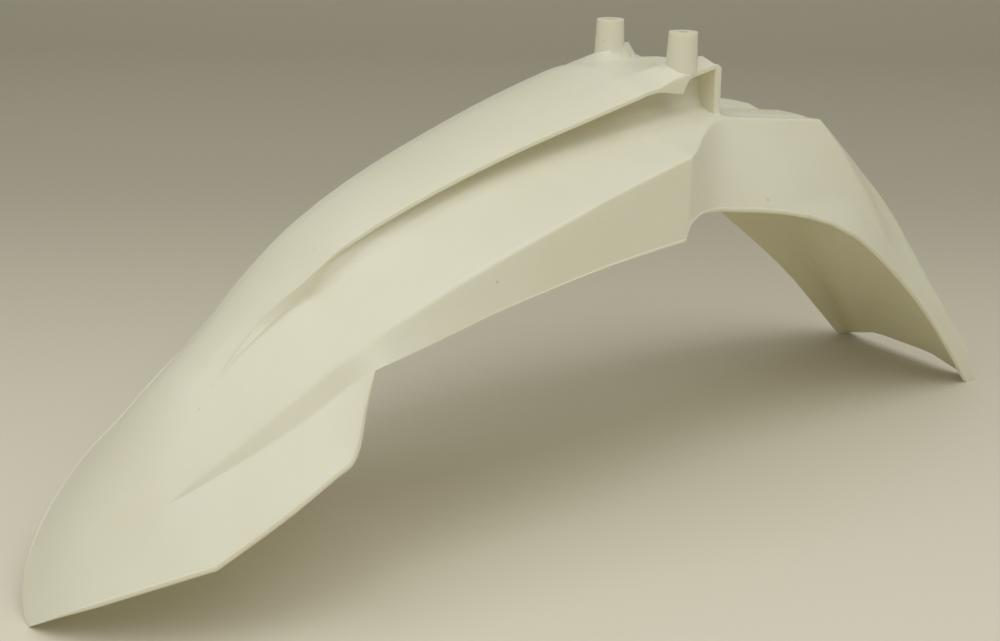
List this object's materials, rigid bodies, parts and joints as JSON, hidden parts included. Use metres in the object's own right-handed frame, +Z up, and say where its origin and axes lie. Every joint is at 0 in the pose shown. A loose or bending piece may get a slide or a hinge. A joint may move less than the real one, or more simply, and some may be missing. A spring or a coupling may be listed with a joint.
{
  "type": "motorcycle front mudguard",
  "caption": "Long arched off-road front mudguard: round spade nose, flared sides, raised hood over side recesses, bolt posts at the fork seat, flat deck and folded tail.",
  "frame": {"origin": "midway between the two bolt posts, in the plane of their top faces, where the guard seats against the fork's lower clamp", "axes": "+X to the machine's left, +Y rearward along the guard, +Z up; the guard stands on its nose tip and its two heels, as in the picture"},
  "size_m": [0.2204, 0.7727, 0.3078],
  "materials": {
    "body": "gloss"
  },
  "bodies": {
    "root": {"mudguard": "body"}
  },
  "joints": []
}
